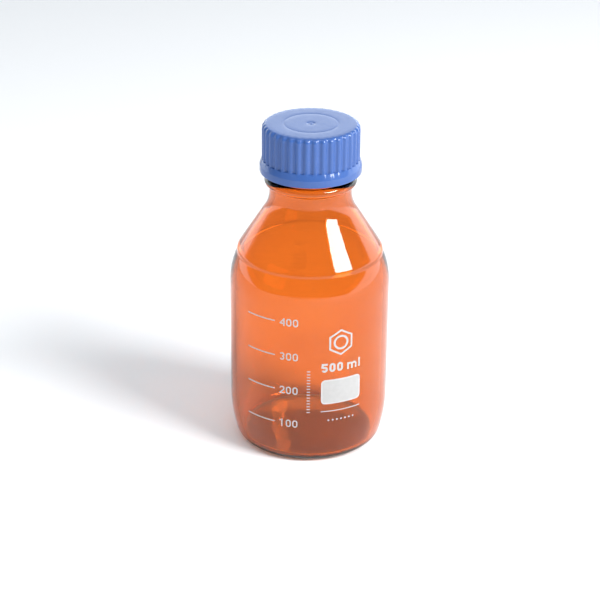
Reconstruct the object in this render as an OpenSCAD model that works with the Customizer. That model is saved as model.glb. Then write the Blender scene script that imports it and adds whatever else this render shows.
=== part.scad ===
// Wide-mouth screw-cap reagent bottle with a pouring ring and a fired-on white print.
// The axis of the bottle is +Z. The origin is the centre of the ring it stands on.
// The front of the print, between the scale and the writing panel, faces -Y.

/* [Bottle] */
// Outer diameter of the body
body_d = 86; // [84:0.5:88]
// Height of the glass from the standing surface to the lip
glass_h = 176; // [172:1:180]
// Thickness of the body wall
wall = 3; // [2.5:0.1:3.5]
// Thickness of the glass at the base
base_t = 2.5; // [2:0.5:4]
// Outer radius of the heel rounding
heel_r = 6; // [5:0.5:7]
// Height below which the body draws in to the heel
foot_z = 26; // [22:1:30]
// Radius of the long curve that draws the body in
foot_round = 80; // [70:5:100]
// Height of the push-up at the middle of the base
push_up = 2.5; // [1.5:0.5:3.5]
// Height where the body starts to round in to the shoulder
body_top_z = 92.6; // [88:0.1:94]
// Radius of the rounding at the top of the body
body_round = 38; // [34:1:42]
// Diameter of the waist between body and shoulder
waist_d = 78.2; // [77:0.2:80]
// Height where the line of the shoulder cone meets the waist
cone_foot_z = 111.3; // [111:0.1:113]
// Slope of the shoulder cone from the horizontal
cone_slope = 57.5; // [56:0.5:59]
// Radius of the rounding at the foot of the cone
cone_round = 4; // [3:0.5:5]
// Radius of the hollow between the waist and the body
waist_hollow = 2; // [1.5:0.5:2.5]

/* [Neck] */
// Diameter of the plain neck
neck_d = 43.8; // [43:0.2:45]
// Radius of the hollow between cone and neck
neck_hollow = 18; // [14:1:20]
// Diameter of the bore through the neck
bore_d = 30; // [29:0.5:31]
// Diameter of the collar below the thread
collar_d = 49; // [48:0.5:50]
// Radius of the collar's round edge
collar_round = 2.5; // [2:0.5:3]
// Radius of the hollow under the collar
collar_hollow = 1; // [0.6:0.2:1.4]
// Height of the middle of the collar
collar_z = 150; // [149:0.5:151]
// Root diameter of the neck thread
root_d = 41.8; // [41.4:0.1:42]
// Crest diameter of the neck thread
crest_d = 44.8; // [44.4:0.1:45]
// Rise of the thread in one turn
pitch = 4; // [4:0.5:4.5]
// Turns of thread on the neck
neck_turns = 2.25; // [1.75:0.25:2.5]
// Height where the neck thread starts
thread_z = 158; // [157:0.5:159]

/* [Pouring ring] */
// Outer diameter of the ring
ring_d = 41.6; // [41.4:0.1:41.8]
// Bore of the ring
ring_bore_d = 30.6; // [30.4:0.2:31.2]
// Height of the ring's drip edge above the lip
drip_h = 3; // [2.5:0.1:3.2]
// Running clearance between the ring and the lip
ring_gap = 0.08; // [0.05:0.01:0.1]

/* [Cap] */
// Diameter over the cap's foot band
cap_d = 54; // [53.5:0.5:55]
// Diameter over the grip ribs
grip_d = 51.6; // [51:0.2:52]
// Diameter at the bottom of the grooves between the ribs
groove_d = 49.8; // [49.4:0.2:50.2]
// Height of the cap
cap_h = 26; // [25:0.5:27]
// Gap between the collar and the foot of the cap
cap_gap = 2.5; // [2:0.5:3]
// Height of the smooth band at the cap's foot
band_h = 7; // [6:0.5:8]
// Thickness of the cap's top
cap_top_t = 1.6; // [1.4:0.1:1.8]
// Number of grip ribs
rib_count = 36; // [30:1:40]
// Turns of thread inside the cap
cap_turns = 2; // [1.5:0.25:2.25]
// Radius of the rounding round the top
top_round = 2.5; // [1.5:0.5:3]

/* [Print] */
// Thickness of the fired-on enamel
enamel_t = 0.12; // [0.1:0.02:0.2]
// Height of the lowest mark of the scale
scale_z = 25.5; // [24:0.5:27]
// Height between the marks, which is 100 ml of the body
scale_step = 20.05; // [19.5:0.05:20.5]
// Angle of the outer end of the marks, from the front
mark_from = -48.5; // [-52:0.5:-46]
// Angle of the inner end of the marks, from the front
mark_to = -24.7; // [-28:0.1:-24]
// Height of the numerals of the scale
numeral_h = 4.4; // [4:0.1:5]
// Height of the numerals of the capacity
capacity_h = 5.2; // [4.8:0.1:5.6]
// Angle of the middle of the capacity, panel and emblem
panel_mid = 24.2; // [22:0.1:26]
// Width of the writing panel round the body
panel_w = 22.9; // [20:0.1:24]
// Height of the writing panel
panel_h = 14.6; // [13:0.1:16]
// Height of the middle of the writing panel
panel_z = 44.8; // [43:0.1:46]

/* [Hidden] */
$fn = 96;

glass_color = [0.72, 0.30, 0.05, 0.6];
enamel_color = [0.95, 0.94, 0.92];
ring_color = [0.22, 0.38, 0.78];
cap_color = [0.30, 0.43, 0.76];

eps = 0.01;
body_r = body_d / 2;
waist_r = waist_d / 2;
neck_r = neck_d / 2;
bore_r = bore_d / 2;
root_r = root_d / 2;
crest_r = crest_d / 2;
inner_r = body_r - wall;

// ---- Shared shapes -------------------------------------------------------

// Points of an arc about [x, z], from angle a to angle b
function arc(x, z, r, a, b, steps = 8) =
    [for (i = [0:steps]) let (t = a + (b - a) * i / steps) [x + r * cos(t), z + r * sin(t)]];

// Half the width and the height above its root of a rounded thread ridge
ridge_half_w = 1.25;
thread_steps = 48;
thread_fade = 5;
// The ridges start this deep inside the wall that carries them
ridge_sink = 0.2;

// Section of a ridge from the wall at root to its crest, as [radius, height] points. They run
// the same way round whether the ridge stands outwards or inwards.
function ridge_section(root, crest) =
    let (way = crest > root ? -1 : 1)
    [for (t = [-1:0.25:1])
        [root + (crest - root) * (1 - pow(abs(t), 2.5)), way * ridge_half_w * t]];

// A right-hand helical ridge whose two ends fade into the wall
module ridge(root, crest, turns, start_z) {
    section = ridge_section(root, crest);
    sides = len(section);
    count = round(turns * thread_steps);
    points = [for (i = [0:count])
        let (a = 360 * i / thread_steps,
             z = start_z + pitch * i / thread_steps,
             size = min(1, (i + 0.2) / thread_fade, (count - i + 0.2) / thread_fade))
        for (p = section)
            let (r = root + (p[0] - root) * size)
            [r * cos(a), r * sin(a), z + p[1] * size]];
    side_faces = [for (i = [0:count - 1]) for (j = [0:sides - 1])
        let (a = i * sides + j, b = i * sides + (j + 1) % sides)
        [a, a + sides, b + sides, b]];
    end_faces = [[for (j = [0:sides - 1]) j],
                 [for (j = [sides - 1:-1:0]) count * sides + j]];
    polyhedron(points, concat(side_faces, end_faces), convexity = 6);
}

// ---- Bottle --------------------------------------------------------------

// The long curve at the foot of the body runs into the heel rounding at this angle
foot_x = body_r - foot_round;
foot_a = asin((foot_z - heel_r) / (foot_round - heel_r));
heel_x = foot_x + (foot_round - heel_r) * cos(foot_a);

// The underside is a shallow dome whose rim is the inside of the standing ring
standing_w = 2;
standing_r = heel_x - standing_w;
dome_r = (pow(standing_r, 2) + pow(push_up, 2)) / (2 * push_up);
dome_a = acos(standing_r / dome_r);

// The hollow at the waist touches the waist line and the rounding at the top of the body
waist_arc_x = waist_r + waist_hollow;
body_arc_x = body_r - body_round;
waist_dz = sqrt(pow(body_round + waist_hollow, 2) - pow(waist_arc_x - body_arc_x, 2));
waist_a = atan2(waist_dz, waist_arc_x - body_arc_x);
waist_arc_z = body_top_z + waist_dz;

// The cone runs from the rounding at its foot to the hollow below the neck
cone_arc_z = cone_foot_z - cone_round * tan((90 - cone_slope) / 2);
neck_arc_x = neck_r + neck_hollow;
neck_touch = neck_arc_x - neck_hollow * sin(cone_slope);
neck_arc_z = cone_foot_z + (waist_r - neck_touch) * tan(cone_slope)
    + neck_hollow * cos(cone_slope);

// The collar's round edge, and the hollow that joins it to the neck
collar_x = collar_d / 2 - collar_round;
collar_dx = neck_r + collar_hollow - collar_x;
collar_dz = sqrt(pow(collar_round + collar_hollow, 2) - pow(collar_dx, 2));
collar_a = atan2(-collar_dz, collar_dx);

// The lip above the thread has a groove and a bead that hold the pouring ring
lip_r = 19.7;
lip_groove_r = 19.2;
lip_bead_z = glass_h - 3.8;
lip_groove_z = glass_h - 5.6;
lip_round = 1.2;

// The side of the body, up to the start of the shoulder, with a layer of thickness t on it
function side_points(t) = concat(
    arc(foot_x, foot_z, foot_round + t, -foot_a, 0),
    [[body_r + t, body_top_z]]);

function outer_points() = concat(
    arc(0, push_up - dome_r, dome_r, 90, dome_a, 6),
    arc(heel_x, heel_r, heel_r, -90, -foot_a),
    side_points(0),
    arc(body_arc_x, body_top_z, body_round, 0, waist_a),
    arc(waist_arc_x, waist_arc_z, waist_hollow, 180 + waist_a, 180, 4),
    arc(waist_r - cone_round, cone_arc_z, cone_round, 0, 90 - cone_slope, 4),
    arc(neck_arc_x, neck_arc_z, neck_hollow, 270 - cone_slope, 180),
    arc(neck_r + collar_hollow, collar_z - collar_dz, collar_hollow, 180, 180 + collar_a, 4),
    arc(collar_x, collar_z, collar_round, collar_a, 90, 12),
    [[root_r, collar_z + collar_round],
     [root_r, lip_groove_z],
     [lip_groove_r, lip_groove_z],
     [lip_groove_r, lip_bead_z],
     [lip_r, lip_bead_z]],
    arc(lip_r - lip_round, glass_h - lip_round, lip_round, 0, 90, 4),
    [[0, glass_h]]);

// Inside, a rounding joins the domed floor to the long curve of the wall. Its centre lies where
// it touches both: share is how far along the line between their centres, as a length.
floor_round = 4.5;
floor_arc_r = dome_r + base_t;
centres = [-foot_x, push_up - dome_r - foot_z];
reach = foot_round - wall - floor_round;
share = (pow(reach, 2) - pow(floor_arc_r + floor_round, 2) + pow(norm(centres), 2))
    / (2 * norm(centres));
along = centres / norm(centres);
floor_x = foot_x + share * along[0] - sqrt(pow(reach, 2) - pow(share, 2)) * along[1];
floor_z = foot_z + share * along[1] + sqrt(pow(reach, 2) - pow(share, 2)) * along[0];
floor_a = atan2(floor_z - push_up + dome_r, floor_x);
wall_a = atan2(floor_z - foot_z, floor_x - foot_x);

// Higher up it turns in to the cone on one large rounding, follows the outside to the neck,
// and narrows to the bore below the thread
inner_foot_z = cone_foot_z + (waist_r - inner_r) * tan(cone_slope) - wall / cos(cone_slope);
inner_round = (inner_foot_z - body_top_z) / tan((90 - cone_slope) / 2);
narrow_z = collar_z + 0.5;
narrow_a = 45;
narrow_round = (neck_r - wall - bore_r) / 2 / (1 - cos(narrow_a));
narrow_h = 2 * narrow_round * sin(narrow_a);

function inner_points() = concat(
    arc(0, push_up - dome_r, floor_arc_r, 90, floor_a, 6),
    arc(floor_x, floor_z, floor_round, floor_a - 180, wall_a),
    arc(foot_x, foot_z, foot_round - wall, wall_a, 0),
    arc(inner_r - inner_round, body_top_z, inner_round, 0, 90 - cone_slope, 12),
    arc(neck_arc_x, neck_arc_z, neck_hollow + wall, 270 - cone_slope, 180),
    arc(neck_r - wall - narrow_round, narrow_z, narrow_round, 0, narrow_a),
    arc(bore_r + narrow_round, narrow_z + narrow_h, narrow_round, 180 + narrow_a, 180),
    arc(bore_r + lip_round, glass_h - lip_round, lip_round, 180, 90, 4),
    [[bore_r + lip_round, glass_h + eps], [0, glass_h + eps]]);

module bottle() {
    color(glass_color) {
        difference() {
            rotate_extrude() polygon(outer_points());
            rotate_extrude() polygon(inner_points());
        }
        ridge(root_r - ridge_sink, crest_r, neck_turns, thread_z);
    }
}

// ---- Print ---------------------------------------------------------------

// The layer of enamel on the side of the body that every printed shape is cut from
module enamel_layer() {
    side = side_points(0);
    last = len(side) - 1;
    color(enamel_color)
        intersection() {
            children();
            rotate_extrude()
                polygon(concat(side_points(enamel_t), [for (i = [last:-1:0]) side[i]]));
        }
}

// Stands a flat shape on the wall, its middle at the given angle from the front and height
module on_wall(angle, z) {
    reach = 5;
    rotate([0, 0, angle]) translate([0, reach - body_r, z]) rotate([90, 0, 0])
        linear_extrude(2 * reach) children();
}

// Angle round the wall that a width of print takes
function wall_angle(w) = w * 180 / (PI * body_r);

// A slot shape that stands upright
module pill(w, h) {
    square([w, h - w], center = true);
    for (side = [-1, 1]) translate([0, side * (h - w) / 2]) circle(d = w);
}

// A bar from one point to another, with square ends
module bar(from, to, s) {
    run = to - from;
    translate(from) rotate(atan2(run[1], run[0])) translate([0, -s / 2]) square([norm(run), s]);
}

// A ring of outer diameter d, cut to the part that lies between two angles
module bow(d, s, from, to) {
    reach = d;
    steps = 6;
    fan = [for (i = [0:steps]) let (t = from + (to - from) * i / steps)
        [reach * cos(t), reach * sin(t)]];
    intersection() {
        difference() {
            circle(d = d);
            circle(d = d - 2 * s);
        }
        polygon(concat([[0, 0]], fan));
    }
}

// The numerals that the print uses, of height h and stroke s, about their own middle
module numeral(digit, h, s) {
    w = 0.64 * h;
    if (digit == 0) {
        difference() {
            pill(w, h);
            pill(w - 2 * s, h - 2 * s);
        }
    }
    if (digit == 1) {
        translate([-s / 2, -h / 2]) square([s, h]);
        bar([-0.3 * h, 0.26 * h], [0, 0.44 * h], 0.8 * s);
    }
    if (digit == 2) {
        translate([0, (h - w) / 2]) bow(w, s, -40, 170);
        bar([-w / 2 + 0.35 * s, s / 2 - h / 2], [0.38 * w, 0.05 * h], s);
        translate([-w / 2, -h / 2]) square([w, s]);
    }
    if (digit == 3) {
        d = (h + s) / 2;
        for (side = [-1, 1])
            translate([0, side * (h - d) / 2]) bow(d, s, side > 0 ? -90 : -160, side > 0 ? 160 : 90);
    }
    if (digit == 4) {
        translate([0.14 * h, -h / 2]) square([s, h]);
        translate([-w / 2, -0.24 * h]) square([w * 1.05, s]);
        bar([-w / 2 + s / 3, -0.16 * h], [0.14 * h + 0.8 * s, h / 2 - 0.2 * s], 0.9 * s);
    }
    if (digit == 5) {
        d = 0.66 * h;
        translate([-w / 2 + 0.1 * h, h / 2 - s]) square([0.84 * w, s]);
        bar([-w / 2 + 0.13 * h, h / 2], [-w / 2 + 0.08 * h, -0.02 * h], s);
        translate([0, (d - h) / 2]) bow(d, s, -155, 140);
    }
}

// A row of numerals round the wall, centred on the given angle
module number(digits, angle, z, h, s) {
    step = wall_angle(0.82 * h);
    for (i = [0:len(digits) - 1])
        on_wall(angle + step * (i - (len(digits) - 1) / 2), z) numeral(digits[i], h, s);
}

scale_count = 4;
mark_s = 0.6;
mark_mid = (mark_from + mark_to) / 2;
mark_w = 2 * body_r * sin((mark_to - mark_from) / 2);
numeral_s = 0.15 * numeral_h;
numeral_mid = -14.3;
function mark_z(i) = scale_z + scale_step * (i - 1);

// The lines at 100, 200, 300 and 400 ml
module scale_marks() {
    enamel_layer()
        for (i = [1:scale_count])
            on_wall(mark_mid, mark_z(i)) square([mark_w, mark_s], center = true);
}

// The numerals beside the lines
module scale_numerals() {
    enamel_layer()
        for (i = [1:scale_count])
            number([i, 0, 0], numeral_mid, mark_z(i), numeral_h, numeral_s);
}

capacity_z = 59.3;
capacity_s = 0.22 * capacity_h;
capacity_mid = panel_mid - 7.2;
unit_mid = panel_mid + 8;
unit_end = panel_mid + 14.2;
letter_h = 0.76 * capacity_h;
stem_gap = 0.47 * capacity_h;

// The small letter m, standing on its foot
module letter_m() {
    s = 0.9 * capacity_s;
    for (i = [-1:1]) translate([i * stem_gap - s / 2, 0]) square([s, letter_h - stem_gap / 2]);
    for (side = [-1, 1])
        translate([side * stem_gap / 2, letter_h - (stem_gap + s) / 2]) bow(stem_gap + s, s, 0, 180);
    translate([-stem_gap - s / 2, 0]) square([s, letter_h]);
}

// 500 ml
module capacity_mark() {
    enamel_layer() {
        number([5, 0, 0], capacity_mid, capacity_z, capacity_h, capacity_s);
        on_wall(unit_mid, capacity_z - capacity_h / 2) letter_m();
        on_wall(unit_end, capacity_z)
            square([0.9 * capacity_s, capacity_h], center = true);
    }
}

// The rounded panel that is written on
module writing_panel() {
    corner = 2.4;
    w = 2 * body_r * sin(wall_angle(panel_w) / 2);
    enamel_layer()
        on_wall(panel_mid, panel_z) {
            square([w, panel_h - 2 * corner], center = true);
            square([w - 2 * corner, panel_h], center = true);
            for (x = [-1, 1], y = [-1, 1])
                translate([x * (w / 2 - corner), y * (panel_h / 2 - corner)]) circle(r = corner);
        }
}

emblem_z = 73.6;
emblem_r = 7.6;
emblem_s = 1.1;
emblem_ring_r = 4.2;

// A plain hexagon with a ring inside, the sign for a benzene ring
module emblem() {
    enamel_layer()
        on_wall(panel_mid - 1, emblem_z) {
            rotate(30) difference() {
                circle(r = emblem_r, $fn = 6);
                circle(r = emblem_r - emblem_s, $fn = 6);
            }
            difference() {
                circle(r = emblem_ring_r);
                circle(r = emblem_ring_r - emblem_s);
            }
        }
}

rule_z = 33.2;
rule_s = 0.5;
dot_z = 27.6;
dot_d = 1;
dot_step = 3.2;
dot_count = 7;
tick_count = 15;
tick_z = 33;
tick_step = 1.75;
tick_w = 1.8;

// A thin rule and a row of dots below the panel, and a ladder of short ticks at the front
module small_marks() {
    enamel_layer() {
        on_wall(panel_mid, rule_z)
            square([2 * body_r * sin(wall_angle(panel_w) / 2), rule_s], center = true);
        for (i = [0:dot_count - 1])
            on_wall(panel_mid + dot_step * (i - (dot_count - 1) / 2), dot_z) circle(d = dot_d);
        for (i = [0:tick_count - 1])
            on_wall(0, tick_z + tick_step * i) square([tick_w, rule_s], center = true);
    }
}

// ---- Pouring ring --------------------------------------------------------

ring_r = ring_d / 2;
ring_bore_r = ring_bore_d / 2;
ring_deck_z = glass_h + ring_gap;
ring_deck_t = 1.1;
ring_foot_z = lip_groove_z + 0.2;
hook_top_z = lip_bead_z - 0.2;
drip_tip_z = glass_h + drip_h;
drip_r = ring_bore_r + 2.6;
drip_t = 0.6;

// Snaps over the lip, holds under its bead and carries the drip edge
module pouring_ring() {
    color(ring_color)
        rotate_extrude() polygon([
            [ring_bore_r, ring_deck_z],
            [lip_r + ring_gap, ring_deck_z],
            [lip_r + ring_gap, hook_top_z],
            [lip_groove_r + ring_gap, hook_top_z],
            [lip_groove_r + ring_gap, ring_foot_z],
            [ring_r, ring_foot_z],
            [ring_r, ring_deck_z + ring_deck_t],
            [drip_r - drip_t, ring_deck_z + ring_deck_t],
            [drip_r + drip_t / 2, drip_tip_z],
            [drip_r - drip_t / 2, drip_tip_z],
            [ring_bore_r, ring_deck_z + ring_deck_t]]);
}

// ---- Cap -----------------------------------------------------------------

cap_foot_z = collar_z + collar_round + cap_gap;
cap_top_z = cap_foot_z + cap_h;
cap_roof_z = cap_top_z - cap_top_t;
band_r = cap_d / 2;
band_z = cap_foot_z + band_h;
band_edge = 0.8;
grip_r = grip_d / 2;
groove_r = groove_d / 2;
rib_r = 1.7;
thread_gap = 0.4;
cap_valley_r = crest_r + thread_gap;
cap_crest_r = root_r + thread_gap;
mouth_r = cap_valley_r + 1.2;
mouth_h = 3;
seal_r = ring_bore_r - 0.12;
seal_tip_r = bore_r - 0.5;
seal_t = 1.3;
seal_tip_z = glass_h - 1.6;
disc_r = 14;
disc_groove_w = 0.8;
disc_groove_h = 0.1;
gate_r = 0.8;
gate_dish_r = 2.2;
gate_dish_h = 0.3;

// The outline that the ribs are trimmed to, from the axis to radius r
module grip_outline(r) {
    polygon(concat(
        [[0, cap_foot_z + eps]],
        [[r, cap_foot_z + eps]],
        arc(r - top_round, cap_top_z - top_round, top_round, 0, 90),
        [[0, cap_top_z]]));
}

// The foot band, with its edges rounded off
module band_outline() {
    polygon(concat(
        [[0, cap_foot_z]],
        arc(band_r - band_edge, cap_foot_z + band_edge, band_edge, -90, 0, 3),
        arc(band_r - band_edge, band_z - band_edge, band_edge, 0, 90, 3),
        [[0, band_z]]));
}

// The hollow inside: a wide mouth, then the bore that carries the thread
module cap_hollow() {
    roof_round = 1.5;
    rotate_extrude() polygon(concat(
        [[0, cap_foot_z - eps],
         [mouth_r, cap_foot_z - eps],
         [mouth_r, cap_foot_z + mouth_h],
         [cap_valley_r, cap_foot_z + mouth_h + (mouth_r - cap_valley_r)]],
        arc(cap_valley_r - roof_round, cap_roof_z - roof_round, roof_round, 0, 90, 4),
        [[0, cap_roof_z]]));
}

// The sealing lip under the roof, which closes in the bore of the pouring ring
module sealing_lip() {
    rotate_extrude() polygon([
        [seal_tip_r - seal_t / 2, seal_tip_z],
        [seal_tip_r, seal_tip_z],
        [seal_r, glass_h + 2 * ring_gap],
        [seal_r, cap_roof_z + eps],
        [seal_r - seal_t, cap_roof_z + eps]]);
}

module cap() {
    color(cap_color) {
        difference() {
            union() {
                rotate_extrude() grip_outline(groove_r);
                rotate_extrude() band_outline();
                intersection() {
                    rotate_extrude() grip_outline(grip_r);
                    for (i = [0:rib_count - 1])
                        rotate([0, 0, 360 * (i + 0.5) / rib_count])
                            translate([grip_r - rib_r, 0, cap_foot_z + eps])
                                cylinder(r = rib_r, h = cap_h);
                }
            }
            cap_hollow();
            translate([0, 0, cap_top_z - disc_groove_h]) difference() {
                cylinder(r = disc_r + disc_groove_w, h = cap_h);
                cylinder(r = disc_r, h = cap_h);
            }
            translate([0, 0, cap_top_z - gate_dish_h]) difference() {
                cylinder(r1 = gate_dish_r - gate_dish_h, r2 = gate_dish_r + gate_dish_h,
                         h = 2 * gate_dish_h);
                cylinder(r = gate_r, h = gate_dish_h * 0.8);
            }
        }
        sealing_lip();
        ridge(cap_valley_r + ridge_sink, cap_crest_r, cap_turns, thread_z + pitch / 2);
    }
}

bottle();
scale_marks();
scale_numerals();
capacity_mark();
writing_panel();
emblem();
small_marks();
pouring_ring();
cap();
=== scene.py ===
"""A reagent bottle of amber glass with a white print, a pouring ring and a blue screw cap.

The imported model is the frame. The glass, the cap, the ring and the writing panel are made anew on its
measures, and the rest of the print keeps its solids under a new enamel.

Named sizes and outlines are in millimetres, and new_object turns them into metres. The places of the
camera and the lights are in metres.
"""
import math

import bpy
from mathutils import Matrix, Vector


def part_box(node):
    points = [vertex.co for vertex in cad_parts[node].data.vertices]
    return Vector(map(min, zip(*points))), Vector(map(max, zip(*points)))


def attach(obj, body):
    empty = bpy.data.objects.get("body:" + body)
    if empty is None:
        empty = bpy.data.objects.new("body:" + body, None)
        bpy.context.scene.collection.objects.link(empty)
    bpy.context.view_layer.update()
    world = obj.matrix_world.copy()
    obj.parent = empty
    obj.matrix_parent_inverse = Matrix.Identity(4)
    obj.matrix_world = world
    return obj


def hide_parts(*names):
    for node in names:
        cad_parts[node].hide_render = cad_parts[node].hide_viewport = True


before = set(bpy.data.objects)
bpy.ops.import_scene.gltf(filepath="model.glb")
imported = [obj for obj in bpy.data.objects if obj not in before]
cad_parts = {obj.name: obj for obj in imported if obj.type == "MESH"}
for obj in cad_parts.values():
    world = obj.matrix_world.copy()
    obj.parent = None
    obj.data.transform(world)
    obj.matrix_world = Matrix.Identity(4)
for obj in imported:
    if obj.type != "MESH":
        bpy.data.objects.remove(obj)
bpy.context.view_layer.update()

MM = 0.001
TURN = 2 * math.pi
TINY = 1e-6

# The frame's own measures
bottle_low, bottle_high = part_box("bottle")
cap_low, cap_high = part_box("cap")
ring_low, ring_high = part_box("pouring_ring")
BODY_R = (bottle_high[0] - bottle_low[0]) / 2 / MM
GLASS_H = bottle_high[2] / MM
CAP_FOOT = cap_low[2] / MM
CAP_TOP = cap_high[2] / MM
BAND_R = (cap_high[0] - cap_low[0]) / 2 / MM
RING_R = (ring_high[0] - ring_low[0]) / 2 / MM
RING_FOOT = ring_low[2] / MM
RING_TOP = ring_high[2] / MM

# Glass
WALL = 3.0
BASE_T = 2.5
HEEL_R = 6.0
FOOT_Z = 26.0
FOOT_ROUND = 80.0
STANDING_W = 2.0
PUSH_UP = 2.5
BODY_TOP = 92.6
BODY_ROUND = 38.0
WAIST_R = 39.1
WAIST_HOLLOW = 2.0
CONE_FOOT = 111.3
CONE_SLOPE = math.radians(57.5)
CONE_ROUND = 4.0
NECK_R = 21.9
NECK_HOLLOW = 18.0
BORE_R = 15.0
NARROW_Z = 150.5
NARROW_A = math.radians(45)
COLLAR_R = 24.5
COLLAR_ROUND = 2.5
COLLAR_HOLLOW = 1.0
COLLAR_Z = 150.0
FLOOR_ROUND = 4.5
GLASS_SIDES = 216

# Lip and threads
ROOT_R = 20.9
CREST_R = 22.4
PITCH = 4.0
NECK_TURNS = 2.25
THREAD_Z = 158.0
THREAD_HALF_W = 1.25
THREAD_FADE = 5 / 48
THREAD_TIP = 0.004
THREAD_FULLNESS = 2.5
ROOT_ROUND = 0.5
LIP_R = 19.7
LIP_ROUND = 1.2
LIP_EDGE = 0.2
LIP_GROOVE_R = 19.2
LIP_GROOVE_LOW = 5.6
LIP_GROOVE_HIGH = 3.8
LIP_GROOVE_ROUND = 0.3

# Cap
RIBS = 36
RIB_R = 1.7
GRIP_R = 25.8
GROOVE_R = 24.9
VALLEY_BLEND = 0.35
TOP_ROUND = 2.5
BAND_H = 7.0
BAND_ROUND = 1.0
FLARE_H = 3.2
FOOT_EDGE = 0.5
MOUTH_W = 1.2
MOUTH_H = 3.0
MOUTH_EDGE = 0.4
LEAD_IN_H = 0.9
ROOF_T = 1.6
ROOF_ROUND = 1.5
BARE_BORE_H = 8.5
VALLEY_R = 22.8
CAP_TURNS = 2.0
SEAL_R = 15.18
SEAL_T = 1.3
SEAL_REACH = 1.4
SEAL_TIP_R = 0.25
GATE_R = 1.7
GATE_DEPTH = 0.2
GATE_STUB_R = 0.65
GATE_STUB_DEPTH = 0.08
DISC_RING_R = 14.25
CAP_SIDES = 12 * RIBS
CAP_SHARP = math.radians(33)

# Pouring ring
RING_GAP = 0.08
RING_BORE_R = BORE_R + 0.3
RING_SIDES = 180
DECK_T = 1.1
RING_EDGE = 0.15
DECK_EDGE = 0.35
DRIP_LIP_W = 2.6
DRIP_LIP_ROUND = 0.3

# Print
ENAMEL_T = 0.12
ENAMEL_SUNK = 0.05
PANEL_A = math.radians(24.2 - 90)
PANEL_W = 22.9
PANEL_H = 14.6
PANEL_CORNER = 2.4
PANEL_EDGE = 0.8

# Colours
AMBER_PALE = (0.87, 0.185, 0.012)
AMBER_DEEP = (0.83, 0.16, 0.009)
GLASS_TINT = (0.53, 0.33, 0.33)
GLASS_DENSITY = 60
UNDER_STAIN = 0.3
CAP_BLUE = (0.036, 0.094, 0.3)
RING_BLUE = (0.036, 0.09, 0.3)
PRINT_WHITE = (0.43, 0.42, 0.41)
PANEL_EDGE_WHITE = (0.48, 0.475, 0.47)
PANEL_WHITE = (0.41, 0.405, 0.4)
PAPER = (0.89, 0.89, 0.9)

# Camera: places in metres, lens and sensor in millimetres
CAMERA_AT = (0, -0.9, 0.5107)
CAMERA_AIM = (-0.0051, 0, 0.0789)
CAMERA_ROLL = math.radians(0.47)
CAMERA_LENS = 110.04
SENSOR_W = 36

# Light: brightness of the world, in the directions whose dot product with a slope is under a height
TABLE = 2.6
TABLE_SLOPE = (-0.09, -0.35, 1)
TABLE_HEIGHT = 0.05
BACKDROP = 0.8
BACKDROP_SLOPE = (0, -2.1, 1)
BACKDROP_HEIGHT = -0.75
CEILING = 0.5
CEILING_SLOPE = (0, 0, -1)
CEILING_HEIGHT = -0.75
ROOM = 0.3
EDGE_SOFTNESS = 0.03
RIGHT_SHARE = 0.15
DAYLIGHT = (0.88, 0.95, 1.0)
LIGHT_AIM = (0, 0, 0.11)


# ---- Outlines ------------------------------------------------------------

def arc(x, z, r, a, b, steps=10):
    """Points of an arc about (x, z) from angle a to angle b, in degrees."""
    angles = [math.radians(a + (b - a) * i / steps) for i in range(steps + 1)]
    return [(x + r * math.cos(t), z + r * math.sin(t)) for t in angles]


def straight(a, b, step):
    """Points between a and b, both left out, no further apart than step."""
    count = max(1, math.ceil(math.dist(a, b) / step))
    return [(a[0] + (b[0] - a[0]) * i / count, a[1] + (b[1] - a[1]) * i / count)
            for i in range(1, count)]


def joined(*runs, step=6.0):
    """One outline from several runs, with points added where they lie far apart."""
    outline = [runs[0][0]]
    for point in [p for run in runs for p in run][1:]:
        if math.dist(outline[-1], point) < TINY:
            continue
        outline += straight(outline[-1], point, step) + [point]
    return outline


def thread_height(angle, z, start, turns):
    """Share of the full thread height at an angle and height, from 0 to 1."""
    best = 0.0
    for lap in range(math.ceil(turns) + 1):
        turned = angle / TURN + lap
        if turned > turns:
            continue
        size = min(1.0, (turned + THREAD_TIP) / THREAD_FADE,
                   (turns - turned + THREAD_TIP) / THREAD_FADE)
        away = abs(z - start - PITCH * turned) / (THREAD_HALF_W * size)
        if away < 1:
            best = max(best, size * (1 - away ** THREAD_FULLNESS))
    return best


# ---- Meshes --------------------------------------------------------------

def new_object(name, points, faces, smooth=True):
    """An object in metres from points in millimetres."""
    mesh = bpy.data.meshes.new(name)
    mesh.from_pydata([tuple(c * MM for c in p) for p in points], [], faces)
    mesh.validate()
    if smooth:
        mesh.polygons.foreach_set("use_smooth", [True] * len(mesh.polygons))
    mesh.update()
    obj = bpy.data.objects.new(name, mesh)
    bpy.context.scene.collection.objects.link(obj)
    return obj


def lathe(name, outline, sides, shape=None):
    """A closed solid turned about the axis. The outline is a list of (radius, height) points; where
    both of its ends lie on the axis they become single points, otherwise it is taken as a loop.
    shape(radius, height, angle) may give another (radius, height)."""
    capped = outline[0][0] < TINY
    points, rows = [], []
    for radius, height in outline:
        if radius < TINY:
            rows.append([len(points)] * sides)
            points.append((0, 0, height))
            continue
        first = len(points)
        rows.append(list(range(first, first + sides)))
        for j in range(sides):
            angle = TURN * j / sides
            r, z = shape(radius, height, angle) if shape else (radius, height)
            points.append((r * math.cos(angle), r * math.sin(angle), z))
    pairs = list(zip(rows, rows[1:]))
    if not capped:
        pairs.append((rows[-1], rows[0]))
    faces = []
    for low, high in pairs:
        for j in range(sides):
            k = (j + 1) % sides
            corners = [low[j], low[k], high[k], high[j]]
            faces.append(list(dict.fromkeys(corners)))
    return new_object(name, points, faces)


# ---- Materials -----------------------------------------------------------

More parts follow.
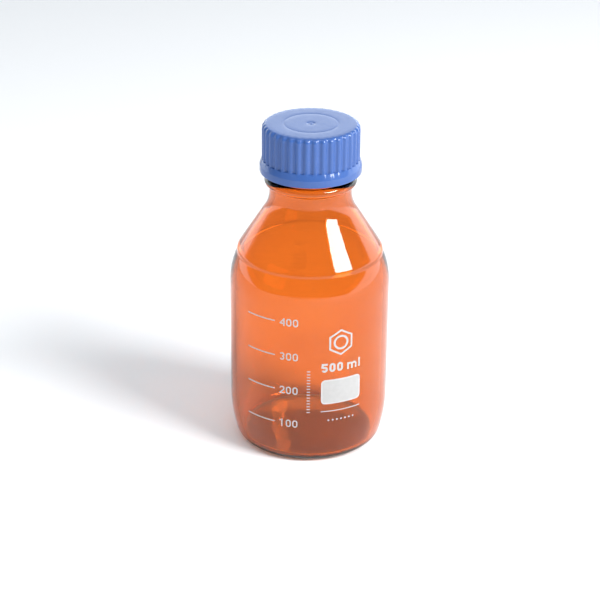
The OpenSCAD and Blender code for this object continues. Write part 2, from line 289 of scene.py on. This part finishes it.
class Nodes:
    """A short way to write a node material."""

    def __init__(self, name):
        self.material = bpy.data.materials.new(name)
        self.material.use_nodes = True
        self.tree = self.material.node_tree
        self.tree.nodes.clear()
        self.output = self.add("ShaderNodeOutputMaterial")

    def add(self, kind, **values):
        node = self.tree.nodes.new(kind)
        for key, value in values.items():
            if key in node.inputs:
                node.inputs[key].default_value = value
            else:
                setattr(node, key, value)
        return node

    def link(self, source, target):
        self.tree.links.new(source, target)

    def noise(self, scale, detail=3.0, roughness=0.5):
        """A noise texture on the object's own coordinates."""
        place = self.add("ShaderNodeTexCoord")
        noise = self.add("ShaderNodeTexNoise", Scale=scale, Detail=detail, Roughness=roughness)
        self.link(place.outputs["Object"], noise.inputs["Vector"])
        return noise.outputs["Fac"]

    def spread(self, source, low, high):
        """The source, from 0.3 to 0.7, spread over low to high."""
        node = self.add("ShaderNodeMapRange")
        node.inputs["From Min"].default_value = 0.3
        node.inputs["From Max"].default_value = 0.7
        node.inputs["To Min"].default_value = low
        node.inputs["To Max"].default_value = high
        self.link(source, node.inputs["Value"])
        return node.outputs["Result"]

    def bump(self, source, strength, depth, target):
        node = self.add("ShaderNodeBump", Strength=strength, Distance=depth)
        self.link(source, node.inputs["Height"])
        self.link(node.outputs["Normal"], target)

    def color_ramp(self, source, low, high, target):
        """Two colours along a value: low is (place, colour) where it starts, and high where it ends."""
        ramp = self.add("ShaderNodeValToRGB")
        for element, (place, color) in zip(ramp.color_ramp.elements, (low, high)):
            element.position = place
            element.color = (*color, 1)
        self.link(source, ramp.inputs["Fac"])
        self.link(ramp.outputs["Color"], target)

    def finish(self, shader):
        """Make a shader node the surface, and give the material back."""
        self.link(shader.outputs["BSDF"], self.output.inputs["Surface"])
        return self.material


def amber_glass():
    """Clear glass with an amber stain on its outer face, as the attribute "stain" says."""
    nodes = Nodes("amber_glass")
    glass = nodes.add("ShaderNodeBsdfPrincipled")
    glass.inputs["Transmission Weight"].default_value = 1
    glass.inputs["Roughness"].default_value = 0
    glass.inputs["IOR"].default_value = 1.474
    ripple = nodes.noise(28, detail=1.5)
    share = nodes.add("ShaderNodeAttribute", attribute_name="stain")
    stain = nodes.add("ShaderNodeMix", data_type="RGBA")
    mix_share, clear, amber = stain.inputs[0], stain.inputs[6], stain.inputs[7]
    mixed = stain.outputs[2]
    clear.default_value = (1, 1, 1, 1)
    nodes.link(share.outputs["Fac"], mix_share)
    nodes.color_ramp(ripple, (0.3, AMBER_PALE), (0.7, AMBER_DEEP), amber)
    nodes.link(mixed, glass.inputs["Base Color"])
    nodes.bump(ripple, 0.25, 0.0006, glass.inputs["Normal"])
    tint = nodes.add("ShaderNodeVolumeAbsorption", Density=GLASS_DENSITY)
    tint.inputs["Color"].default_value = (*GLASS_TINT, 1)
    nodes.link(tint.outputs["Volume"], nodes.output.inputs["Volume"])
    return nodes.finish(glass)


def white_enamel(name, color):
    """Fired enamel, a little cloudy and with a fine grain."""
    nodes = Nodes(name)
    enamel = nodes.add("ShaderNodeBsdfPrincipled")
    enamel.inputs["IOR"].default_value = 1.5
    cloud = nodes.noise(400, detail=4)
    dark = tuple(c * 0.93 for c in color)
    nodes.color_ramp(cloud, (0.3, dark), (0.65, color), enamel.inputs["Base Color"])
    nodes.link(nodes.spread(cloud, 0.38, 0.55), enamel.inputs["Roughness"])
    nodes.bump(nodes.noise(2600, detail=2), 0.3, 0.00003, enamel.inputs["Normal"])
    return nodes.finish(enamel)


def moulded_plastic(name, color, rough):
    """Satin plastic with faint flow marks in its colour, gloss and surface."""
    nodes = Nodes(name)
    plastic = nodes.add("ShaderNodeBsdfPrincipled")
    plastic.inputs["IOR"].default_value = 1.49
    flow = nodes.noise(45, detail=2)
    deep = tuple(c * 0.94 for c in color)
    nodes.color_ramp(flow, (0.3, deep), (0.7, color), plastic.inputs["Base Color"])
    nodes.link(nodes.spread(nodes.noise(300, detail=3), rough - 0.04, rough + 0.05),
               plastic.inputs["Roughness"])
    nodes.bump(nodes.noise(160, detail=1), 0.1, 0.00006, plastic.inputs["Normal"])
    return nodes.finish(plastic)


# ---- Bottle --------------------------------------------------------------

def touching_centre(first, second, first_reach, second_reach):
    """The point at two given distances from two centres, on the side away from the axis."""
    gap = math.dist(first, second)
    share = (first_reach ** 2 - second_reach ** 2 + gap ** 2) / (2 * gap)
    rise = math.sqrt(first_reach ** 2 - share ** 2)
    along = ((second[0] - first[0]) / gap, (second[1] - first[1]) / gap)
    return (first[0] + share * along[0] - rise * along[1],
            first[1] + share * along[1] + rise * along[0])


def angle_from(centre, point):
    return math.degrees(math.atan2(point[1] - centre[1], point[0] - centre[0]))


def bottle_outline():
    """Two runs of the glass: from the middle of the underside up the outside to the lip's top, and
    from there down the inside to the middle of the floor."""
    slope = math.degrees(CONE_SLOPE)
    foot = (BODY_R - FOOT_ROUND, FOOT_Z)
    foot_a = math.asin((FOOT_Z - HEEL_R) / (FOOT_ROUND - HEEL_R))
    heel_x = foot[0] + (FOOT_ROUND - HEEL_R) * math.cos(foot_a)
    foot_a = math.degrees(foot_a)
    standing_r = heel_x - STANDING_W
    dome_r = (standing_r ** 2 + PUSH_UP ** 2) / (2 * PUSH_UP)
    dome = (0, PUSH_UP - dome_r)
    waist_x = WAIST_R + WAIST_HOLLOW
    body_x = BODY_R - BODY_ROUND
    waist_dz = math.sqrt((BODY_ROUND + WAIST_HOLLOW) ** 2 - (waist_x - body_x) ** 2)
    waist_a = math.degrees(math.atan2(waist_dz, waist_x - body_x))
    cone_z = CONE_FOOT - CONE_ROUND * math.tan(math.radians(90 - slope) / 2)
    neck_x = NECK_R + NECK_HOLLOW
    neck_touch = neck_x - NECK_HOLLOW * math.sin(CONE_SLOPE)
    neck_z = (CONE_FOOT + (WAIST_R - neck_touch) * math.tan(CONE_SLOPE)
              + NECK_HOLLOW * math.cos(CONE_SLOPE))
    collar_x = COLLAR_R - COLLAR_ROUND
    collar_dx = NECK_R + COLLAR_HOLLOW - collar_x
    collar_dz = math.sqrt((COLLAR_ROUND + COLLAR_HOLLOW) ** 2 - collar_dx ** 2)
    collar_a = math.degrees(math.atan2(-collar_dz, collar_dx))
    outside = joined(
        arc(*dome, dome_r, 90, math.degrees(math.acos(standing_r / dome_r)), 8),
        arc(heel_x, HEEL_R, HEEL_R, -90, -foot_a, 14),
        arc(*foot, FOOT_ROUND, -foot_a, 0, 12),
        arc(body_x, BODY_TOP, BODY_ROUND, 0, waist_a, 16),
        arc(waist_x, BODY_TOP + waist_dz, WAIST_HOLLOW, 180 + waist_a, 180, 6),
        arc(WAIST_R - CONE_ROUND, cone_z, CONE_ROUND, 0, 90 - slope, 8),
        arc(neck_x, neck_z, NECK_HOLLOW, 270 - slope, 180, 16),
        arc(NECK_R + COLLAR_HOLLOW, COLLAR_Z - collar_dz, COLLAR_HOLLOW, 180, 180 + collar_a, 6),
        arc(collar_x, COLLAR_Z, COLLAR_ROUND, collar_a, 90, 16))
    collar_top = COLLAR_Z + COLLAR_ROUND
    groove_low = GLASS_H - LIP_GROOVE_LOW
    groove_high = GLASS_H - LIP_GROOVE_HIGH
    soft = LIP_GROOVE_ROUND
    finish = joined(
        arc(ROOT_R + ROOT_ROUND, collar_top + ROOT_ROUND, ROOT_ROUND, -90, -180, 4),
        [(ROOT_R, groove_low - soft)], step=0.22)
    lip = joined(
        arc(ROOT_R - soft, groove_low - soft, soft, 0, 90, 4),
        arc(LIP_GROOVE_R + soft, groove_low + soft, soft, 270, 180, 4),
        arc(LIP_GROOVE_R + soft, groove_high - soft, soft, 180, 90, 4),
        arc(LIP_R - LIP_EDGE, groove_high + LIP_EDGE, LIP_EDGE, -90, 0, 3),
        arc(LIP_R - LIP_ROUND, GLASS_H - LIP_ROUND, LIP_ROUND, 0, 90, 8))
    inner_r = BODY_R - WALL
    foot_z = CONE_FOOT + (WAIST_R - inner_r) * math.tan(CONE_SLOPE) - WALL / math.cos(CONE_SLOPE)
    inner_round = (foot_z - BODY_TOP) / math.tan(math.radians(90 - slope) / 2)
    narrow_r = (NECK_R - WALL - BORE_R) / 2 / (1 - math.cos(NARROW_A))
    narrow_h = 2 * narrow_r * math.sin(NARROW_A)
    narrow_a = math.degrees(NARROW_A)
    floor = touching_centre(foot, dome, FOOT_ROUND - WALL - FLOOR_ROUND,
                            dome_r + BASE_T + FLOOR_ROUND)
    wall_a = angle_from(foot, floor)
    floor_a = angle_from(dome, floor)
    inside = joined(
        arc(BORE_R + LIP_ROUND, GLASS_H - LIP_ROUND, LIP_ROUND, 90, 180, 8),
        arc(BORE_R + narrow_r, NARROW_Z + narrow_h, narrow_r, 180, 180 + narrow_a, 10),
        arc(NECK_R - WALL - narrow_r, NARROW_Z, narrow_r, narrow_a, 0, 10),
        arc(neck_x, neck_z, NECK_HOLLOW + WALL, 180, 270 - slope, 16),
        arc(inner_r - inner_round, BODY_TOP, inner_round, 90 - slope, 0, 16),
        arc(*foot, FOOT_ROUND - WALL, 0, wall_a, 12),
        arc(*floor, FLOOR_ROUND, wall_a, floor_a - 180, 14),
        arc(*dome, dome_r + BASE_T, floor_a, 90, 8))
    return joined(outside, finish, lip, step=8.0), joined(inside, step=8.0)


def neck_thread(radius, height, angle):
    """The shape of the root with the thread on it, and of the rest as it is."""
    near_root = abs(radius - ROOT_R) < 0.05 and COLLAR_Z < height < GLASS_H
    if not near_root:
        return radius, height
    rise = thread_height(angle, height, THREAD_Z, NECK_TURNS)
    return radius + (CREST_R - ROOT_R) * rise, height


def make_bottle():
    """The glass. Its attribute "stain" is 1 outside, less on the underside, and 0 inside."""
    outside, inside = bottle_outline()
    bottle = lathe("bottle_glass", outside + inside, GLASS_SIDES, neck_thread)
    bottle.data.materials.append(amber_glass())
    stain = bottle.data.attributes.new("stain", "FLOAT", "POINT")
    outside_points = 1 + (len(outside) - 1) * GLASS_SIDES
    for vertex in bottle.data.vertices[:outside_points]:
        underside = vertex.co.z < PUSH_UP * MM and vertex.normal.z < -0.9
        stain.data[vertex.index].value = UNDER_STAIN if underside else 1
    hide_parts("bottle")
    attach(bottle, "bottle_body")


# ---- Cap -----------------------------------------------------------------

def rib_outline(angle):
    """Radius of the ribbed grip at an angle: round ribs with soft hollows between them."""
    step = TURN / RIBS
    away = (angle / step) % 1 - 0.5
    centre = GRIP_R - RIB_R
    side = centre * math.sin(away * step)
    rib = centre * math.cos(away * step) + math.sqrt(max(RIB_R ** 2 - side ** 2, 0))
    share = max(VALLEY_BLEND - abs(rib - GROOVE_R), 0) / VALLEY_BLEND
    return max(rib, GROOVE_R) + share ** 2 * VALLEY_BLEND / 4


def cap_outline():
    """The cap from the middle of its top, down the outside and up inside to the roof's middle."""
    roof = CAP_TOP - ROOF_T
    edge = GRIP_R - TOP_ROUND
    band_z = CAP_FOOT + BAND_H
    mouth = VALLEY_R + MOUTH_W
    stub_top = CAP_TOP - GATE_STUB_DEPTH
    gate_floor = CAP_TOP - GATE_DEPTH
    disc_ring = [(DISC_RING_R + across, CAP_TOP - depth) for across, depth in (
        (-1.05, 0), (-0.45, 0.03), (0, 0.08), (0.45, 0.03), (1.05, 0))]
    outside = joined(
        [(0, stub_top), (GATE_STUB_R - 0.05, stub_top)],
        arc(GATE_STUB_R, stub_top - 0.08, 0.08, 90, 0, 3),
        [(GATE_STUB_R + 0.2, gate_floor), (GATE_R, gate_floor)],
        arc(GATE_R, CAP_TOP, GATE_DEPTH, -90, -40, 4),
        arc(GATE_R + 0.9, CAP_TOP - 0.5, 0.5, 115, 90, 4),
        disc_ring, [(edge, CAP_TOP)], step=3.0)
    rounding = [(edge + TOP_ROUND * math.sin(math.radians(a)),
                 CAP_TOP - TOP_ROUND * (1 - math.cos(math.radians(a)))) for a in range(9, 91, 9)]
    grip = joined([rounding[-1]], [(GRIP_R, band_z + 0.2)], step=4.0)[1:]
    foot = joined(
        [(GRIP_R + 0.1, band_z - 0.05)],
        arc(BAND_R - BAND_ROUND, band_z - FLARE_H, BAND_ROUND, 20, 0, 4),
        arc(BAND_R - FOOT_EDGE, CAP_FOOT + FOOT_EDGE, FOOT_EDGE, 0, -90, 5),
        arc(mouth + MOUTH_EDGE, CAP_FOOT + MOUTH_EDGE, MOUTH_EDGE, -90, -180, 5),
        [(mouth, CAP_FOOT + MOUTH_H), (VALLEY_R, CAP_FOOT + MOUTH_H + LEAD_IN_H)], step=3.0)
    thread_bore = joined([foot[-1]], [(VALLEY_R, roof - BARE_BORE_H)], step=0.25)[1:]
    seal_tip = GLASS_H - SEAL_REACH
    seal_inner = SEAL_R - SEAL_T
    roof_run = joined(
        [thread_bore[-1]],
        arc(VALLEY_R - ROOF_ROUND, roof - ROOF_ROUND, ROOF_ROUND, 0, 90, 6),
        arc(SEAL_R + 0.4, roof - 0.4, 0.4, 90, 180, 4),
        [(SEAL_R, GLASS_H + 0.2), (BORE_R - 2 * SEAL_TIP_R, seal_tip)],
        arc(BORE_R - 3 * SEAL_TIP_R, seal_tip, SEAL_TIP_R, 0, -180, 6),
        [(seal_inner, GLASS_H), (seal_inner, roof - 0.5)],
        arc(seal_inner - 0.5, roof - 0.5, 0.5, 0, 90, 4),
        [(0, roof)], step=3.0)[1:]
    return outside + rounding + grip + foot + thread_bore + roof_run


def ribs_and_thread(radius, height, angle):
    """The shape of the grip with its ribs, of the bore with its thread, and of the rest as it is."""
    edge = GRIP_R - TOP_ROUND
    if radius > edge + TINY and height > CAP_FOOT + BAND_H:
        share = (radius - edge) / (GRIP_R - edge)
        return edge + share * (rib_outline(angle) - edge), height
    if abs(radius - VALLEY_R) < TINY and height < CAP_TOP - BARE_BORE_H + TINY:
        rise = thread_height(angle, height, THREAD_Z + PITCH / 2, CAP_TURNS)
        return radius - (CREST_R - ROOT_R) * rise, height
    return radius, height


def make_cap():
    cap = lathe("screw_cap", cap_outline(), CAP_SIDES, ribs_and_thread)
    cap.data.flip_normals()
    cap.data.set_sharp_from_angle(angle=CAP_SHARP)
    cap.data.materials.append(moulded_plastic("cap_plastic", CAP_BLUE, 0.2))
    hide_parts("cap")
    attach(cap, "cap_body")


# ---- Pouring ring --------------------------------------------------------

def make_ring():
    """The ring: a deck over the lip with a drip lip on it, and a skirt that snaps under the lip."""
    deck = GLASS_H + RING_GAP
    deck_top = deck + DECK_T
    hook_z = GLASS_H - LIP_GROOVE_HIGH - LIP_EDGE
    hook_r = LIP_GROOVE_R + RING_GAP
    skirt_r = LIP_R + RING_GAP
    soft = RING_EDGE
    drip = RING_BORE_R + DRIP_LIP_W
    outline = joined(
        arc(RING_BORE_R + soft, deck + soft, soft, 180, 270, 3),
        [(skirt_r, deck), (skirt_r, hook_z), (hook_r, hook_z)],
        arc(hook_r + soft, RING_FOOT + soft, soft, 180, 270, 3),
        arc(RING_R - soft, RING_FOOT + soft, soft, -90, 0, 3),
        arc(RING_R - DECK_EDGE, deck_top - DECK_EDGE, DECK_EDGE, 0, 90, 4),
        [(drip - 0.5, deck_top), (drip - 0.3, deck_top + 0.1)],
        arc(drip, RING_TOP - DRIP_LIP_ROUND, DRIP_LIP_ROUND, -20, 150, 6),
        [(RING_BORE_R, deck_top)], step=3.0)
    ring = lathe("pouring_ring_soft", outline, RING_SIDES)
    ring.data.materials.append(moulded_plastic("ring_plastic", RING_BLUE, 0.26))
    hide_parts("pouring_ring")
    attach(ring, "ring_body")


# ---- Print ---------------------------------------------------------------

def wall_plate(name, width, height, corner, bottom, top, material):
    """A rounded plate on the body's wall, at the middle of the writing panel. bottom and top are its
    inner and outer radius."""
    low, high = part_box("writing_panel")
    middle_z = (low[2] + high[2]) / 2 / MM
    half_w, half_h = width / 2, height / 2
    turns = [half_w - corner + corner * math.sin(math.radians(t)) for t in range(0, 91, 10)]
    across = [-x for x in reversed(turns)] + turns
    across = sorted(set(across + [x * half_w / 8 for x in range(-6, 7)]))
    points, faces = [], []
    for x in across:
        over = max(abs(x) - half_w + corner, 0)
        reach = half_h - corner + math.sqrt(max(corner ** 2 - over ** 2, 0))
        angle = PANEL_A + x / BODY_R
        for r, z in ((bottom, -reach), (bottom, reach), (top, reach), (top, -reach)):
            points.append((r * math.cos(angle), r * math.sin(angle), middle_z + z))
    for i in range(len(across) - 1):
        a, b = 4 * i, 4 * i + 4
        faces += [(a + j, a + (j + 1) % 4, b + (j + 1) % 4, b + j) for j in range(4)]
    last = 4 * (len(across) - 1)
    faces += [(3, 2, 1, 0), (last, last + 1, last + 2, last + 3)]
    plate = new_object(name, points, faces, smooth=False)
    plate.data.materials.append(material)
    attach(plate, "bottle_body")
    return plate


def make_print():
    enamel = white_enamel("white_enamel", PRINT_WHITE)
    for name in ("scale_marks", "scale_numerals", "capacity_mark", "emblem", "small_marks"):
        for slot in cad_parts[name].material_slots:
            slot.material = enamel
    edge = wall_plate("writing_panel_edge", PANEL_W, PANEL_H, PANEL_CORNER,
                      BODY_R - ENAMEL_SUNK, BODY_R + 0.8 * ENAMEL_T,
                      white_enamel("panel_edge", PANEL_EDGE_WHITE))
    wall_plate("writing_panel_field", PANEL_W - 2 * PANEL_EDGE, PANEL_H - 2 * PANEL_EDGE,
               PANEL_CORNER - PANEL_EDGE, BODY_R + 0.5 * ENAMEL_T, BODY_R + ENAMEL_T,
               white_enamel("panel_field", PANEL_WHITE))
    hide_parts("writing_panel")


make_bottle()
make_cap()
make_ring()
make_print()


# ---- Camera, floor and light ---------------------------------------------

def make_camera():
    """The camera stands in front of the bottle and looks down on it, rolled by a hair."""
    here = Vector(CAMERA_AT)
    forward = (Vector(CAMERA_AIM) - here).normalized()
    right = forward.cross(Vector((0, 0, 1))).normalized()
    up = right.cross(forward)
    side = right * math.cos(CAMERA_ROLL) + up * math.sin(CAMERA_ROLL)
    over = up * math.cos(CAMERA_ROLL) - right * math.sin(CAMERA_ROLL)
    data = bpy.data.cameras.new("camera")
    data.lens = CAMERA_LENS
    data.sensor_width = SENSOR_W
    data.clip_start = 0.01
    camera = bpy.data.objects.new("camera", data)
    turn = Matrix((side, over, -forward)).transposed().to_4x4()
    camera.matrix_world = Matrix.Translation(here) @ turn
    bpy.context.scene.collection.objects.link(camera)
    bpy.context.scene.camera = camera


def make_floor():
    """A sheet of white paper just under the bottle, longest towards the camera."""
    side_mm, back_mm, front_mm, top_mm = 1000, 1000, 6000, -0.05
    corners = [(-side_mm, -front_mm, top_mm), (side_mm, -front_mm, top_mm),
               (side_mm, back_mm, top_mm), (-side_mm, back_mm, top_mm)]
    floor = new_object("floor", corners, [(0, 1, 2, 3)], smooth=False)
    nodes = Nodes("floor_paper")
    paper = nodes.add("ShaderNodeBsdfPrincipled", Roughness=0.9)
    paper.inputs["Base Color"].default_value = (*PAPER, 1)
    paper.inputs["Specular IOR Level"].default_value = 0.2
    floor.data.materials.append(nodes.finish(paper))


def make_softbox(name, azimuth, elevation, distance, width, height, power, mirrored=True):
    """An area light that faces the bottle's shoulder. Azimuth 0 is in front, 90 to the right. A light
    that isn't mirrored gives no reflection of its own."""
    aim = Vector(LIGHT_AIM)
    a, e = math.radians(azimuth), math.radians(elevation)
    away = Vector((math.cos(e) * math.sin(a), -math.cos(e) * math.cos(a), math.sin(e)))
    data = bpy.data.lights.new(name, "AREA")
    data.shape = "RECTANGLE"
    data.size = width
    data.size_y = height
    data.energy = power
    light = bpy.data.objects.new(name, data)
    light.visible_glossy = mirrored
    light.location = aim + away * distance
    light.rotation_euler = (-away).to_track_quat("-Z", "Y").to_euler()
    bpy.context.scene.collection.objects.link(light)


def make_world():
    """A dim room with a white table, a backdrop that rises behind the bottle, and a ceiling."""
    world = bpy.data.worlds.new("studio")
    world.use_nodes = True
    tree = world.node_tree
    tree.nodes.clear()
    place = tree.nodes.new("ShaderNodeTexCoord")

    def sloped(slope, height):
        """The directions' dot product with a slope, less a height."""
        tilt = tree.nodes.new("ShaderNodeVectorMath")
        tilt.operation = "DOT_PRODUCT"
        tilt.inputs[1].default_value = slope
        lift = tree.nodes.new("ShaderNodeMath")
        lift.operation = "SUBTRACT"
        lift.inputs[1].default_value = height
        tree.links.new(place.outputs["Generated"], tilt.inputs[0])
        tree.links.new(tilt.outputs["Value"], lift.inputs[0])
        return lift.outputs["Value"]

    def below(level, strength):
        """The strength where a level is under nought, and nothing above it, with a soft edge."""
        edge = tree.nodes.new("ShaderNodeMapRange")
        edge.interpolation_type = "SMOOTHSTEP"
        edge.inputs["From Min"].default_value = -EDGE_SOFTNESS
        edge.inputs["From Max"].default_value = EDGE_SOFTNESS
        edge.inputs["To Min"].default_value = strength
        edge.inputs["To Max"].default_value = 0
        tree.links.new(level, edge.inputs["Value"])
        return edge.outputs["Result"]

    def math_node(operation, first, second):
        node = tree.nodes.new("ShaderNodeMath")
        node.operation = operation
        tree.links.new(first, node.inputs[0])
        tree.links.new(second, node.inputs[1])
        return node.outputs["Value"]

    table = below(sloped(TABLE_SLOPE, TABLE_HEIGHT), TABLE - ROOM)
    backdrop = below(sloped(BACKDROP_SLOPE, BACKDROP_HEIGHT), BACKDROP - ROOM)
    ceiling = below(sloped(CEILING_SLOPE, CEILING_HEIGHT), CEILING - ROOM)
    lit = math_node("MAXIMUM", math_node("MAXIMUM", table, backdrop), ceiling)
    sided = math_node("MULTIPLY", lit, sloped((RIGHT_SHARE, 0, 0), -1))
    dim = tree.nodes.new("ShaderNodeMath")
    dim.inputs[1].default_value = ROOM
    tree.links.new(sided, dim.inputs[0])
    background = tree.nodes.new("ShaderNodeBackground")
    background.inputs["Color"].default_value = (*DAYLIGHT, 1)
    output = tree.nodes.new("ShaderNodeOutputWorld")
    tree.links.new(dim.outputs["Value"], background.inputs["Strength"])
    tree.links.new(background.outputs["Background"], output.inputs["Surface"])
    bpy.context.scene.world = world


make_camera()
make_floor()
make_softbox("key", azimuth=58, elevation=35.6, distance=1.6, width=0.72, height=0.68, power=40)
make_softbox("top", azimuth=-20, elevation=70, distance=1.8, width=1.2, height=1.0, power=7)
make_softbox("fill", azimuth=-55, elevation=12, distance=1.6, width=1.0, height=0.8, power=9,
             mirrored=False)
make_world()
bpy.context.scene.view_settings.view_transform = "Standard"
